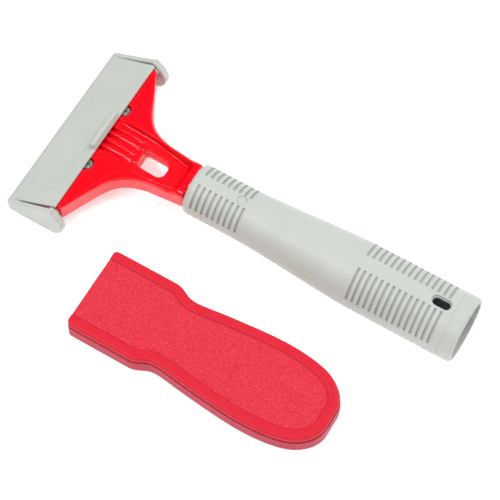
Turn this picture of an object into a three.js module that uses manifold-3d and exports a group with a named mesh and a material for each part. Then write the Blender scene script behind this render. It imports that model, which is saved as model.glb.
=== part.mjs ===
// Algae scraper: a 100 mm blade in a red head on a hollow grey handle, with its grey blade guard
// fitted, and the small red pocket scraper that belongs to the set lying beside it.
// Millimetres, +Z up. The origin is the middle of the whole set, on the surface it lies on.
import * as THREE from 'three';
import { mergeVertices } from 'three/addons/utils/BufferGeometryUtils.js';
import Module from 'manifold-3d';

const wasm = await Module();
wasm.setup();

// ---- driving dimensions: the scraper. x runs from the handle's front end (0) to its open end.
const GAP = 0.3;                       // clearance between neighbouring solids
const HANDLE_LENGTH = 162;
const HANDLE_FRONT_R = 14.3;
const HANDLE_REAR_R = 18.3;
const FRONT_GRIP_END = 38;             // the handle is a cylinder up to here
const REAR_GRIP_START = 97;            // and again from here
const SOCKET_MOUTH_R = 15.8;           // inside of the open end, for an extension pole
const SOCKET_END = 150;                // the mouth's cylinder ends here and the bore narrows
const TANG_BORE_R = 11.4;
const TANG_BORE_END = 62;
const AXIS_Z = HANDLE_REAR_R;          // the rear grip rests on the table
const HANDLE_SIDES = 36;
const GROOVE_PITCH = 3.38;
const GROOVE_WIDTH = 1.3;
const GROOVE_DEPTH = 0.9;
const GROOVE_ROWS = [45, 135, 225, 315];   // degrees round from the top
const GROOVE_SPAN = 63;                    // degrees covered by one groove
const FRONT_GROOVES = { first: 5.3, count: 9 };
const REAR_GROOVES = { first: 101, count: 15 };
const LOCK_SLOT = { x: 146, length: 11.2, width: 6 };
const SHOULDER = { length: 3.2, drop: 2 };  // rounding of the front end
const PIN = { x: 29, r: 2.5, bottom: 8.2 };
const TANG = { r: 11.0, start: -2, end: 46, chamfer: 1.5 };

// ---- the blade end is tilted: u runs up the slope from the guard's front top edge, w is normal to it
const TILT = Math.PI / 6;
const SLOPE_X = -85.5;
const SLOPE_Z = 7.8;
const GUARD_DEPTH = 34;
const GUARD_HALF_WIDTH = 54.4;
const GUARD_SKIN = 1.8;
const ARM_THICKNESS = 3.2;
const KNOB = { x: -60.2, z: 12.2, rx: 10.7, rz: 12.2, thickness: 4.1, from: -58 };
const RUB_PAD = { from: 25, to: 33, low: -7.4, high: -3.4 };
const TAB = { length: 23, middle: 1.4, from: 31.2, to: 34.6, height: 3.1 };
const HEAD_TOP = -2.2;                 // head's upper face under the guard, as w
const SEAT = -8.0;                     // head's lower face, where the blade lies
const BLADE = { width: 100, from: 3.2, depth: 20, thickness: 0.5 };
const CLAMP = { half: 41.5, from: 9, to: 29, back: 38, thickness: 1.5, ears: [12.5, 24.5] };
const SCREW = { u: 33.4, y: 18.6, pocketR: 3.7, pocketDepth: 3.2, headR: 2.8, shankR: 2, tail: 3.4 };
const WASHER = { r: 3.3, thickness: 0.6 };
const NUT = { half: 3.5, thickness: 3 };
const CLAMP_STEP = 0.8;                // the clamp plate's seat lies this much above the blade's
const WING_HALF = 48.7;
const NECK_TOP = 26.2;
const NECK_BOTTOM = 12.4;

// ---- the pocket scraper: s runs back from its wide end, t is across it
const POCKET = { x: -18.4, y: -74.1, length: 144.4, height: 13, half: 25.2, wall: 1.8, rim: 6.6 };
const POCKET_PARTING = 9;
const SHELL_WALL = 3;                  // the shells' side walls and the lower shell's floor
const UPPER_INSET = 0.9;               // the upper shell stands this far inside the lower one
const PANEL_DEPTH = 0.8;
const CORNER = 3;                      // rounding of the wide end's corners
const MOUTH = { half: 21.2, low: 5.6, high: 9.8 };
const CARRIER = { half: 20.6, from: 19, to: 62, low: 6.1, high: 9.1 };
const RAZOR = { half: 19.5, depth: 19, from: 2.5, thickness: 0.3 };
const SLIDER = { s: 52, length: 16, half: 5 };
const SLIDER_TRAVEL = 14;
const SLIDER_WELL = 1.6;
const SHELL_SCREWS = [88, 126];
const SHELL_SCREW = { headR: 2.7, headLow: 0.7, headHigh: 2.0, shankR: 1.0, top: 10.8 };
const BOSS = { r: 3.6, clearR: 1.8, threadR: 1.3, sinkR: 3, sink: 2.2, roof: 11.1 };

const RED = { color: 0xe8102a, roughness: 0.22, metalness: 0 };
const SATIN_RED = { color: 0xd8283f, roughness: 0.6, metalness: 0 };
const GREY = { color: 0xc4c8c2, roughness: 0.55, metalness: 0 };
const DARK_GREY = { color: 0x6d7072, roughness: 0.6, metalness: 0 };
const STEEL = { color: 0xb8bcc0, roughness: 0.3, metalness: 1 };
const ZINC = { color: 0xa6a8aa, roughness: 0.4, metalness: 1 };

// ---- solids from three.js geometry
function toSolid(geometry) {
  geometry.deleteAttribute('normal');
  geometry.deleteAttribute('uv');
  const merged = mergeVertices(geometry, 1e-5);
  const vertProperties = new Float32Array(merged.attributes.position.array);
  const triVerts = new Uint32Array(merged.index.array);
  return new wasm.Manifold(new wasm.Mesh({ numProp: 3, vertProperties, triVerts }));
}

function toMesh(name, solid, look) {
  const data = solid.getMesh();
  const geometry = new THREE.BufferGeometry();
  geometry.setAttribute('position', new THREE.BufferAttribute(data.vertProperties, 3));
  geometry.setIndex(new THREE.BufferAttribute(data.triVerts, 1));
  geometry.computeVertexNormals();
  const mesh = new THREE.Mesh(geometry, new THREE.MeshStandardMaterial(look));
  mesh.name = name;
  return mesh;
}

function shapeOf(points) {
  return new THREE.Shape(points.map(([a, b]) => new THREE.Vector2(a, b)));
}

function prism(shape, depth, matrix, curveSegments = 6) {
  const options = { depth, bevelEnabled: false, curveSegments };
  return toSolid(new THREE.ExtrudeGeometry(shape, options).applyMatrix4(matrix));
}

// a shape drawn in x and y, standing from z = low to z = high
function upright(shape, low, high, segments) {
  return prism(shape, high - low, new THREE.Matrix4().makeTranslation(0, 0, low), segments);
}

// a shape drawn in x and z, reaching from y = low to y = high
function sideways(shape, low, high, segments) {
  const turn = new THREE.Matrix4().makeRotationX(Math.PI / 2);
  turn.setPosition(0, high, 0);
  return prism(shape, high - low, turn, segments);
}

// the tilted frame: (u, y, w) to (x, y, z)
const TILTED = new THREE.Matrix4().makeTranslation(SLOPE_X, 0, SLOPE_Z)
  .multiply(new THREE.Matrix4().makeRotationY(-TILT));

function onSlope(u, w) {
  const p = new THREE.Vector3(u, 0, w).applyMatrix4(TILTED);
  return [p.x, p.z];
}

// a shape drawn in u and y, from w = low to w = high
function slab(shape, low, high, segments) {
  const place = TILTED.clone().multiply(new THREE.Matrix4().makeTranslation(0, 0, low));
  return prism(shape, high - low, place, segments);
}

function rectangle(a0, b0, a1, b1) {
  return shapeOf([[a0, b0], [a1, b0], [a1, b1], [a0, b1]]);
}

function disc(a, b, r) {
  return new THREE.Shape().absarc(a, b, r, 0, 2 * Math.PI);
}

function obround(a, b, length, width) {
  const reach = (length - width) / 2;
  const shape = new THREE.Shape();
  shape.absarc(a + reach, b, width / 2, -Math.PI / 2, Math.PI / 2);
  shape.absarc(a - reach, b, width / 2, Math.PI / 2, 1.5 * Math.PI);
  return shape;
}

function roundedRectangle(a0, b0, a1, b1, r) {
  const shape = new THREE.Shape();
  shape.absarc(a1 - r, b0 + r, r, -Math.PI / 2, 0);
  shape.absarc(a1 - r, b1 - r, r, 0, Math.PI / 2);
  shape.absarc(a0 + r, b1 - r, r, Math.PI / 2, Math.PI);
  shape.absarc(a0 + r, b0 + r, r, Math.PI, 1.5 * Math.PI);
  return shape;
}

// a turned solid about a line along x at height z; points are [radius, x] and close on themselves
function turned(points, sides, z = AXIS_Z) {
  const closed = [...points, points[0]].map(([r, x]) => new THREE.Vector2(r, x));
  const lathe = new THREE.LatheGeometry(closed, sides);
  const lay = new THREE.Matrix4().makeRotationZ(-Math.PI / 2);
  lay.premultiply(new THREE.Matrix4().makeTranslation(0, 0, z));
  return toSolid(lathe.applyMatrix4(lay));
}

function joined(solids) {
  return solids.reduce((whole, next) => whole.add(next));
}

// ---- handle
function handleRadius(x) {
  const t = THREE.MathUtils.clamp((x - FRONT_GRIP_END) / (REAR_GRIP_START - FRONT_GRIP_END), 0, 1);
  return THREE.MathUtils.lerp(HANDLE_FRONT_R, HANDLE_REAR_R, t);
}

// one curved groove across a row; its floor is a flat-bottomed ring sector
function groove(x, middle) {
  const outer = handleRadius(x) + 1;
  const inner = handleRadius(x) - GROOVE_DEPTH;
  const half = THREE.MathUtils.degToRad(GROOVE_SPAN / 2);
  const centre = THREE.MathUtils.degToRad(90 - middle);
  const shape = new THREE.Shape();
  shape.absarc(0, 0, outer, centre - half, centre + half, false);
  shape.absarc(0, 0, inner, centre + half, centre - half, true);
  const turn = new THREE.Matrix4().makeBasis(
    new THREE.Vector3(0, 1, 0), new THREE.Vector3(0, 0, 1), new THREE.Vector3(1, 0, 0));
  turn.setPosition(x - GROOVE_WIDTH / 2, 0, AXIS_Z);
  return prism(shape, GROOVE_WIDTH, turn, 3);
}

function grooves() {
  const cuts = [];
  for (const band of [FRONT_GROOVES, REAR_GROOVES]) {
    for (let i = 0; i < band.count; i += 1) {
      for (const row of GROOVE_ROWS) {
        cuts.push(groove(band.first + i * GROOVE_PITCH, row));
      }
    }
  }
  return joined(cuts);
}

function handle() {
  const { length, drop } = SHOULDER;
  const profile = [[TANG_BORE_R, 0.6], [TANG_BORE_R + 0.6, 0]];
  for (let i = 0; i <= 4; i += 1) {
    const a = (i / 4) * Math.PI / 2;
    profile.push([HANDLE_FRONT_R - drop + drop * Math.sin(a), length - length * Math.cos(a)]);
  }
  profile.push([HANDLE_FRONT_R, FRONT_GRIP_END], [HANDLE_REAR_R, REAR_GRIP_START]);
  profile.push([HANDLE_REAR_R, HANDLE_LENGTH - 1.2], [HANDLE_REAR_R - 0.4, HANDLE_LENGTH - 0.35]);
  profile.push([HANDLE_REAR_R - 1.2, HANDLE_LENGTH], [SOCKET_MOUTH_R + 0.4, HANDLE_LENGTH]);
  profile.push([SOCKET_MOUTH_R, HANDLE_LENGTH - 0.5], [SOCKET_MOUTH_R, SOCKET_END]);
  profile.push([TANG_BORE_R, TANG_BORE_END]);
  const tube = turned(profile, HANDLE_SIDES);
  const slot = obround(LOCK_SLOT.x, 0, LOCK_SLOT.length, LOCK_SLOT.width);
  const slotCut = upright(slot, AXIS_Z + 8, AXIS_Z + HANDLE_REAR_R + 2);
  const pinHole = upright(disc(PIN.x, 0, PIN.r + GAP), AXIS_Z + 5, AXIS_Z + HANDLE_FRONT_R + 2);
  return tube.subtract(grooves()).subtract(slotCut).subtract(pinHole);
}

function tangPin() {
  return upright(disc(PIN.x, 0, PIN.r), AXIS_Z + PIN.bottom, AXIS_Z + HANDLE_FRONT_R - 0.1);
}

// ---- head
// plan outline of the head's far half, from the wing's front corner to the tang
function headPlan() {
  const shape = new THREE.Shape();
  const half = (sign) => [
    [[-82, 0], [-82, WING_HALF]],
    [[-55.5, WING_HALF], [-54, WING_HALF], [-53, 47.6]],
    [[-41.6, 26]],
    [[-36.6, 16.4], [-30, 14.6], [-22, 12.9]],
    [[-GAP, 10.8], [-GAP, 0]],
  ].map((run) => run.map(([x, y]) => [x, y * sign]));
  const [front, corner, back, fillet, neck] = half(1);
  shape.moveTo(...front[0]);
  shape.lineTo(...front[1]);
  shape.lineTo(...corner[0]);
  shape.quadraticCurveTo(...corner[1], ...corner[2]);
  shape.lineTo(...back[0]);
  shape.bezierCurveTo(...fillet[0], ...fillet[1], ...fillet[2]);
  shape.lineTo(...neck[0]);
  const [, corner2, back2, fillet2, neck2] = half(-1);
  shape.lineTo(...neck2[0]);
  shape.lineTo(...fillet2[2]);
  shape.bezierCurveTo(...fillet2[1], ...fillet2[0], ...back2[0]);
  shape.lineTo(...corner2[2]);
  shape.quadraticCurveTo(...corner2[1], ...corner2[0]);
  shape.lineTo(-82, -WING_HALF);
  return shape;
}

function headSide() {
  return shapeOf([
    onSlope(6, SEAT), onSlope(27, SEAT), [-56, 9.4], [-44, NECK_BOTTOM], [-GAP, NECK_BOTTOM],
    [-GAP, NECK_TOP], [-30, NECK_TOP], [-38, 25.9], [-46, 25.0], onSlope(35, HEAD_TOP),
    onSlope(10, HEAD_TOP), onSlope(6, -6.4)]);
}

// the hollow under the wings that takes the blade and its clamp plate, inside the back skirt
function underRecess() {
  const plan = shapeOf([
    [-90, -60], [-57, -60], [-57, -44], [-54.6, -42], [-46.6, -25.6], [-46.6, -11.6], [-53.6, -11.6],
    [-53.6, 11.6], [-46.6, 11.6], [-46.6, 25.6], [-54.6, 42], [-57, 44], [-57, 60], [-90, 60]]);
  const ledge = BLADE.from + BLADE.depth + 0.4;
  const low = SEAT - CLAMP_STEP;
  const below = shapeOf([
    onSlope(-5, SEAT), onSlope(ledge, SEAT), onSlope(ledge, low), onSlope(60, low),
    onSlope(60, -60), onSlope(-5, -60)]);
  return upright(plan, -5, 40).intersect(sideways(below, -70, 70));
}

function channel() {
  const plan = shapeOf([
    [-66, -13.4], [-47, -12.2], [-30, -11.4], [-18, -10.3], [-9, -9.3], [-6.6, -7.6],
    [-6.6, 7.6], [-9, 9.3], [-18, 10.3], [-30, 11.4], [-47, 12.2], [-66, 13.4]]);
  const above = shapeOf([
    [-66, 15.4], [-55, 21.2], [-45, 21.6], [-34, 21.2], [-20, 19.4], [-7.4, 18.2], [-5.4, 30], [-66, 40]]);
  return upright(plan, 0, 45).intersect(sideways(above, -20, 20));
}

// finger grooves: deep under the guard, running out towards the window
function fingerGroove(y) {
  const side = shapeOf([[-66, 13.2], [-56, 19.2], [-50, 19.8], [-34.5, 21.6], [-34.5, 30], [-66, 30]]);
  return sideways(side, y - 0.85, y + 0.85);
}

function windowPlan() {
  const shape = new THREE.Shape();
  shape.absarc(-31.2, -4.1, 2.2, Math.PI, 1.5 * Math.PI);
  shape.absarc(-21.6, -1.4, 4.2, 1.5 * Math.PI, 2 * Math.PI);
  shape.absarc(-21.6, 1.4, 4.2, 0, Math.PI / 2);
  shape.absarc(-31.2, 4.1, 2.2, Math.PI / 2, Math.PI);
  return shape;
}

function tang() {
  const { r, start, end, chamfer } = TANG;
  return turned([[0, start], [r, start], [r, end - chamfer], [r - chamfer, end], [0, end]], 32);
}

function head() {
  const cuts = [underRecess(), channel(), upright(windowPlan(), 0, 40, 5)];
  for (const y of [-6.4, -2.1, 2.1, 6.4]) {
    cuts.push(fingerGroove(y));
  }
  for (const side of [-1, 1]) {
    const pocket = disc(SCREW.u, side * SCREW.y, SCREW.pocketR);
    const hole = disc(SCREW.u, side * SCREW.y, SCREW.shankR + GAP);
    cuts.push(slab(pocket, HEAD_TOP - SCREW.pocketDepth, 8), slab(hole, -20, 0));
  }
  cuts.push(upright(disc(PIN.x, 0, PIN.r + GAP), AXIS_Z + PIN.bottom - GAP, 60));
  const block = upright(headPlan(), 0, 45).intersect(sideways(headSide(), -60, 60));
  const plug = tang();
  return cuts.reduce((rest, cut) => rest.subtract(cut), block.add(plug));
}

// ---- blade, clamp plate and its fasteners, all square to the slope
const BLADE_TOP = SEAT - GAP;
const CLAMP_TOP = SEAT - CLAMP_STEP - GAP;
const CLAMP_LOW = CLAMP_TOP - CLAMP.thickness;

function blade() {
  const half = BLADE.width / 2;
  const back = BLADE.from + BLADE.depth;
  const edge = shapeOf([
    onSlope(BLADE.from, BLADE_TOP - 0.05), onSlope(BLADE.from + 1.2, BLADE_TOP), onSlope(back, BLADE_TOP),
    onSlope(back, BLADE_TOP - BLADE.thickness), onSlope(BLADE.from + 1.2, BLADE_TOP - BLADE.thickness)]);
  return sideways(edge, -half, half);
}

function clampPlate() {
  const { half, from, to, back, ears } = CLAMP;
  const [inner, outer] = ears;
  const plan = shapeOf([
    [from, -half], [to, -half], [to + 1, -outer - 3], [back, -outer], [back, -inner], [to, -inner],
    [to, inner], [back, inner], [back, outer], [to + 1, outer + 3], [to, half], [from, half]]);
  let plate = slab(plan, CLAMP_LOW, CLAMP_TOP);
  for (const side of [-1, 1]) {
    plate = plate.subtract(slab(disc(SCREW.u, side * SCREW.y, SCREW.shankR + GAP), -20, 0));
  }
  return plate;
}

const POCKET_FLOOR = HEAD_TOP - SCREW.pocketDepth;
const WASHER_TOP = POCKET_FLOOR + GAP + WASHER.thickness;
const SCREW_HEAD_LOW = WASHER_TOP + GAP;

function washer(side) {
  const ring = disc(SCREW.u, side * SCREW.y, WASHER.r);
  ring.holes.push(disc(SCREW.u, side * SCREW.y, SCREW.shankR + GAP));
  return slab(ring, WASHER_TOP - WASHER.thickness, WASHER_TOP);
}

function clampScrew(side) {
  const y = side * SCREW.y;
  const cap = slab(disc(SCREW.u, y, SCREW.headR), SCREW_HEAD_LOW, HEAD_TOP - 0.1);
  const shank = slab(disc(SCREW.u, y, SCREW.shankR), CLAMP_LOW - SCREW.tail, SCREW_HEAD_LOW + 0.2, 5);
  const length = 3.8;
  const width = 0.9;
  const depth = 1.1;
  const bars = [[length, width], [width, length]].map(([a, b]) => {
    const bar = rectangle(SCREW.u - a / 2, y - b / 2, SCREW.u + a / 2, y + b / 2);
    return slab(bar, HEAD_TOP - depth, 1);
  });
  return cap.add(shank).subtract(joined(bars));
}

function clampNut(side) {
  const { half, thickness } = NUT;
  const y = side * SCREW.y;
  const square = rectangle(SCREW.u - half, y - half, SCREW.u + half, y + half);
  square.holes.push(disc(SCREW.u, y, SCREW.shankR + GAP));
  return slab(square, CLAMP_LOW - GAP - thickness, CLAMP_LOW - GAP);
}

// ---- blade guard
// a flat piece beside the head, between two distances from the middle
function besideHead(shape, side, inner, outer) {
  return side > 0 ? sideways(shape, inner, outer, 12) : sideways(shape, -outer, -inner, 12);
}

function guardArm(side) {
  const shape = new THREE.Shape();
  shape.moveTo(SLOPE_X + 0.8, 0);
  shape.lineTo(SLOPE_X, 1.2);
  shape.lineTo(...onSlope(0, 0));
  shape.lineTo(...onSlope(GUARD_DEPTH, 0));
  shape.lineTo(...onSlope(GUARD_DEPTH + 0.2, -1.2));
  shape.absellipse(KNOB.x, KNOB.z, KNOB.rx, KNOB.rz, 1.05, -Math.PI / 2, true);
  return besideHead(shape, side, GUARD_HALF_WIDTH - ARM_THICKNESS, GUARD_HALF_WIDTH);
}

// the arm's round end is thicker, behind a step across the arm
function knobBoss(side) {
  const shape = new THREE.Shape();
  const rise = Math.acos((KNOB.from - KNOB.x) / (KNOB.rx - 0.4));
  shape.absellipse(KNOB.x, KNOB.z, KNOB.rx - 0.4, KNOB.rz - 0.4, rise, -rise, true);
  return besideHead(shape, side, GUARD_HALF_WIDTH - KNOB.thickness, GUARD_HALF_WIDTH - 1);
}

function rubPad(side) {
  const shape = roundedRectangle(RUB_PAD.from, RUB_PAD.low, RUB_PAD.to, RUB_PAD.high, 1.2);
  const inner = WING_HALF + GAP;
  const outer = GUARD_HALF_WIDTH - ARM_THICKNESS / 2;
  const bounds = side > 0 ? [-outer, -inner] : [inner, outer];
  const turn = TILTED.clone().multiply(new THREE.Matrix4().makeRotationX(Math.PI / 2));
  turn.multiply(new THREE.Matrix4().makeTranslation(0, 0, bounds[0]));
  return prism(shape, bounds[1] - bounds[0], turn, 4);
}

function guardPlate() {
  const rear = 49.6;
  const front = GUARD_HALF_WIDTH;
  const plan = shapeOf([
    [0, -front], [7, -front], [7, -50.9], [GUARD_DEPTH, -rear],
    [GUARD_DEPTH, rear], [7, 50.9], [7, front], [0, front]]);
  return slab(plan, -GUARD_SKIN, 0);
}

function guard() {
  const inner = GUARD_HALF_WIDTH - 1;
  const nose = shapeOf([
    [SLOPE_X + 0.8, 0], onSlope(8, -13.6), onSlope(8, -9.6), onSlope(2.2, -9.6),
    onSlope(2.2, -0.8), onSlope(0, 0), [SLOPE_X, 1.2]]);
  const half = TAB.length / 2;
  const tabPlan = roundedRectangle(TAB.from, TAB.middle - half, TAB.to, TAB.middle + half, 1.6);
  const tab = slab(tabPlan, -1, TAB.height);
  const parts = [guardPlate(), sideways(nose, -inner, inner), tab];
  for (const side of [-1, 1]) {
    parts.push(guardArm(side), knobBoss(side), rubPad(side));
  }
  return joined(parts);
}

// ---- pocket scraper
// half widths along its length, from the wide end to the rounded palm end
function pocketCurve(inset) {
  const w = POCKET.half - inset;
  const end = POCKET.length - inset;
  const path = new THREE.Path();
  if (inset < SHELL_WALL) {
    path.moveTo(0, w - CORNER);
    path.quadraticCurveTo(0, w, CORNER, w);
  } else {
    path.moveTo(-2, w);
  }
  path.lineTo(37.5, w);
  path.bezierCurveTo(43.5, w, 45.5, w - 4.1, 51.5, w - 4.1);
  path.bezierCurveTo(57, w - 4.1, 62, w - 2.9, 72, w - 1.9);
  path.bezierCurveTo(86, w - 0.5, 96, w + 0.5, 106, w + 0.4);
  path.bezierCurveTo(116, w + 0.3, 126 - inset * 0.3, w - 1.2, 131.5 - inset * 0.5, w - 3.6);
  path.bezierCurveTo(137.5 - inset * 0.8, w - 6.2, end - 0.8, w * 0.54, end, w * 0.25);
  path.lineTo(end, 0);
  return path.getPoints(7);
}

function pocketPlan(inset) {
  const far = pocketCurve(inset).map((p) => [p.x, p.y]);
  const near = far.slice(0, -1).reverse().map(([s, t]) => [s, -t]);
  return shapeOf([...far, ...near].reverse());
}

// an outer block in layers of [inset, from, to], which step in as a rounding
function layered(layers) {
  const overlap = 0.01;
  return joined(layers.map(([inset, from, to]) => upright(pocketPlan(inset), from - overlap, to)));
}

function screwBoss(s, low, high) {
  return upright(disc(s, 0, BOSS.r), low, high, 5);
}

function mouthCut() {
  return upright(rectangle(-3, -MOUTH.half, 3, MOUTH.half), MOUTH.low, MOUTH.high);
}

// the hollow inside a shell, behind the wall of its wide end
function shellHollow(low, high) {
  const frontWall = upright(rectangle(-4, -40, POCKET.wall, 40), 0, 20);
  return upright(pocketPlan(SHELL_WALL), low, high).subtract(frontWall);
}

function upperShell() {
  const low = POCKET_PARTING + GAP / 2;
  const top = POCKET.height;
  const block = layered([
    [UPPER_INSET, low + 0.01, 10.8], [UPPER_INSET + 0.3, 10.8, 11.8],
    [UPPER_INSET + 0.9, 11.8, 12.5], [UPPER_INSET + 1.8, 12.5, top]]);
  const panel = upright(pocketPlan(POCKET.rim), top - PANEL_DEPTH, top + 2);
  let shell = block.subtract(shellHollow(low - 1, top - POCKET.wall - PANEL_DEPTH)).subtract(panel);
  for (const s of SHELL_SCREWS) {
    const hole = upright(disc(s, 0, BOSS.threadR), low - 1, BOSS.roof, 5);
    shell = shell.add(screwBoss(s, low, top - PANEL_DEPTH - 0.5)).subtract(hole);
  }
  return shell.subtract(mouthCut());
}

function lowerShell() {
  const high = POCKET_PARTING - GAP / 2;
  const block = layered([[0.8, 0.01, 0.4], [0.3, 0.4, 1.1], [0, 1.1, 5], [0.35, 5, high]]);
  let shell = block.subtract(shellHollow(SHELL_WALL, high + 1));
  for (const s of SHELL_SCREWS) {
    shell = shell.add(screwBoss(s, 1, high)).subtract(upright(disc(s, 0, BOSS.clearR), -1, 10, 5));
    shell = shell.subtract(upright(disc(s, 0, BOSS.sinkR), -1, BOSS.sink, 5));
  }
  const runs = SLIDER.length + SLIDER_TRAVEL;
  const middle = SLIDER.s - SLIDER_TRAVEL / 2;
  const well = obround(middle, 0, runs + 6, 2 * SLIDER.half + 4);
  const slot = obround(middle, 0, runs - 7, 5);
  shell = shell.subtract(upright(well, -1, SLIDER_WELL)).subtract(upright(slot, -1, 10));
  return shell.subtract(mouthCut());
}

function carrier() {
  const { half, from, to, low, high } = CARRIER;
  const body = upright(roundedRectangle(from, -half + 5.4, to, half - 5.4, 2), low, high, 3);
  const nose = upright(rectangle(from, -half, from + 12, half), low, high);
  const slotHole = upright(rectangle(SLIDER.s - 3, -1.7, SLIDER.s + 3, 1.7), 0, 20);
  const springSeat = upright(rectangle(28, -4.6, 46, 4.6), low - 1, low + 1.2);
  const ledge = upright(rectangle(RAZOR.from + 6, -half + 1.4, from + 1, half - 1.4), low, low + 1.2);
  return body.add(nose).subtract(slotHole).subtract(springSeat).add(ledge);
}

const RAZOR_LOW = CARRIER.low + 1.2 + GAP;

function razorBlade() {
  const { half, from, depth, thickness } = RAZOR;
  const low = RAZOR_LOW;
  const edge = shapeOf([
    [from, low + thickness / 2 - 0.02], [from + 1, low], [from + depth - 4.6, low],
    [from + depth - 4.6, low + thickness], [from + 1, low + thickness], [from, low + thickness / 2 + 0.02]]);
  return sideways(edge, -half, half);
}

function razorSpine() {
  const front = RAZOR.from + RAZOR.depth - 9.4;
  const back = CARRIER.from - GAP;
  const wrap = shapeOf([
    [front, RAZOR_LOW + RAZOR.thickness + GAP], [back, RAZOR_LOW + RAZOR.thickness + GAP],
    [back, RAZOR_LOW + RAZOR.thickness + 1.1], [front, RAZOR_LOW + RAZOR.thickness + 1.1]]);
  return sideways(wrap, -RAZOR.half, RAZOR.half);
}

function thumbSlider() {
  const { s, length, half } = SLIDER;
  let button = upright(roundedRectangle(s - length / 2, -half, s + length / 2, half, 2.4), 0.2, 1.3, 4);
  for (let i = -2; i <= 2; i += 1) {
    button = button.subtract(upright(rectangle(s + i * 2.4 - 0.4, -3.4, s + i * 2.4 + 0.4, 3.4), -1, 0.6));
  }
  const stem = upright(roundedRectangle(s - 2.6, -1.35, s + 2.6, 1.35, 0.8), 1, CARRIER.high - 0.3, 3);
  return button.add(stem);
}

function detentSpring() {
  const rise = 1.0;
  const base = CARRIER.low + 0.45;
  const outer = [];
  const inner = [];
  for (let i = 0; i <= 8; i += 1) {
    const s = 29 + 2 * i;
    const dip = rise * Math.sin((i / 8) * Math.PI);
    outer.push([s, base - dip]);
    inner.push([s, base + 0.35 - dip]);
  }
  return sideways(shapeOf([...outer, ...inner.reverse()]), -3.6, 3.6);
}

function shellScrew(s) {
  const { headR, headLow, headHigh, shankR, top } = SHELL_SCREW;
  const headDisc = upright(disc(s, 0, headR), headLow, headHigh, 5);
  const slot = upright(rectangle(s - 2, -0.4, s + 2, 0.4), 0, headLow + 0.5);
  return headDisc.add(upright(disc(s, 0, shankR), headLow + 0.8, top, 4)).subtract(slot);
}

// ---- assembly
const scraper = new THREE.Group();
scraper.add(toMesh('handle_grip', handle(), GREY));
scraper.add(toMesh('tang_lock_pin', tangPin(), GREY));
scraper.add(toMesh('scraper_head', head(), RED));
scraper.add(toMesh('scraper_blade', blade(), STEEL));
scraper.add(toMesh('blade_clamp_plate', clampPlate(), ZINC));
for (const [label, side] of [['near', -1], ['far', 1]]) {
  scraper.add(toMesh(`clamp_screw_${label}`, clampScrew(side), ZINC));
  scraper.add(toMesh(`clamp_washer_${label}`, washer(side), ZINC));
  scraper.add(toMesh(`clamp_nut_${label}`, clampNut(side), ZINC));
}
scraper.add(toMesh('blade_guard', guard(), GREY));

const pocketScraper = new THREE.Group();
pocketScraper.position.set(POCKET.x, POCKET.y, 0);
pocketScraper.add(toMesh('pocket_upper_shell', upperShell(), SATIN_RED));
pocketScraper.add(toMesh('pocket_lower_shell', lowerShell(), SATIN_RED));
pocketScraper.add(toMesh('pocket_blade_carrier', carrier(), DARK_GREY));
pocketScraper.add(toMesh('pocket_razor_blade', razorBlade(), STEEL));
pocketScraper.add(toMesh('pocket_razor_spine', razorSpine(), ZINC));
pocketScraper.add(toMesh('pocket_thumb_slider', thumbSlider(), DARK_GREY));
pocketScraper.add(toMesh('pocket_detent_spring', detentSpring(), STEEL));
pocketScraper.add(toMesh('pocket_shell_screw_front', shellScrew(SHELL_SCREWS[0]), ZINC));
pocketScraper.add(toMesh('pocket_shell_screw_rear', shellScrew(SHELL_SCREWS[1]), ZINC));

// the set's middle goes to the origin
const set = new THREE.Group();
const middleX = (SLOPE_X + HANDLE_LENGTH) / 2;
const pocketHalf = Math.max(...pocketCurve(0).map((p) => p.y));
const middleY = (GUARD_HALF_WIDTH + POCKET.y - pocketHalf) / 2;
set.position.set(-middleX, -middleY, 0);
set.add(scraper, pocketScraper);

export default set;
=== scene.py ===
import math

import bmesh
import bpy
import numpy as np
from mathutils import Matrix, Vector


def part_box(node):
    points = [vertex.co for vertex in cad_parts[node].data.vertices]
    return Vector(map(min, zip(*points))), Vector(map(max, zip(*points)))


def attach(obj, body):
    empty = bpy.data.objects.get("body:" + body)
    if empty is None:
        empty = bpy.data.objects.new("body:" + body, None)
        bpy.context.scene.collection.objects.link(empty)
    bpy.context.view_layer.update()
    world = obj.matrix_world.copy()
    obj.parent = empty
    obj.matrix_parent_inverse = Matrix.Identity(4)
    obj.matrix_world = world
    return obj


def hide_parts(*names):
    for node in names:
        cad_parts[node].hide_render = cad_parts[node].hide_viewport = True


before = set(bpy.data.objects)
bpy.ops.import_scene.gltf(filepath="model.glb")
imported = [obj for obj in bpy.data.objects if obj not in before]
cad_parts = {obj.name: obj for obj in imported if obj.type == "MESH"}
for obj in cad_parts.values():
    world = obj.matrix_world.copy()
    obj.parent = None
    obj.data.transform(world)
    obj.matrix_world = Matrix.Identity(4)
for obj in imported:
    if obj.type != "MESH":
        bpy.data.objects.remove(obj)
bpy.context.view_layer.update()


# ---- where things are. Shapes are drawn in millimetres, from two origins on the table:
# the scraper's, at the front end of its handle, and the pocket scraper's, at its wide end
MM = 0.001
grip_low, grip_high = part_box("handle_grip")
pocket_low, pocket_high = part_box("pocket_lower_shell")
SCRAPER_ORIGIN = Vector((grip_low.x, (grip_low.y + grip_high.y) / 2, 0))
POCKET_ORIGIN = Vector((pocket_low.x, (pocket_low.y + pocket_high.y) / 2, 0))

HANDLE_LENGTH = (grip_high.x - grip_low.x) / MM
AXIS_Z = (grip_low.z + grip_high.z) / 2 / MM
REAR_R = (grip_high.z - grip_low.z) / 2 / MM
FRONT_R = 14.3
FRONT_GRIP_END = 38
REAR_GRIP_START = 97
SOCKET_MOUTH_R = 15.8
TANG_BORE_R = 11.4

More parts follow.
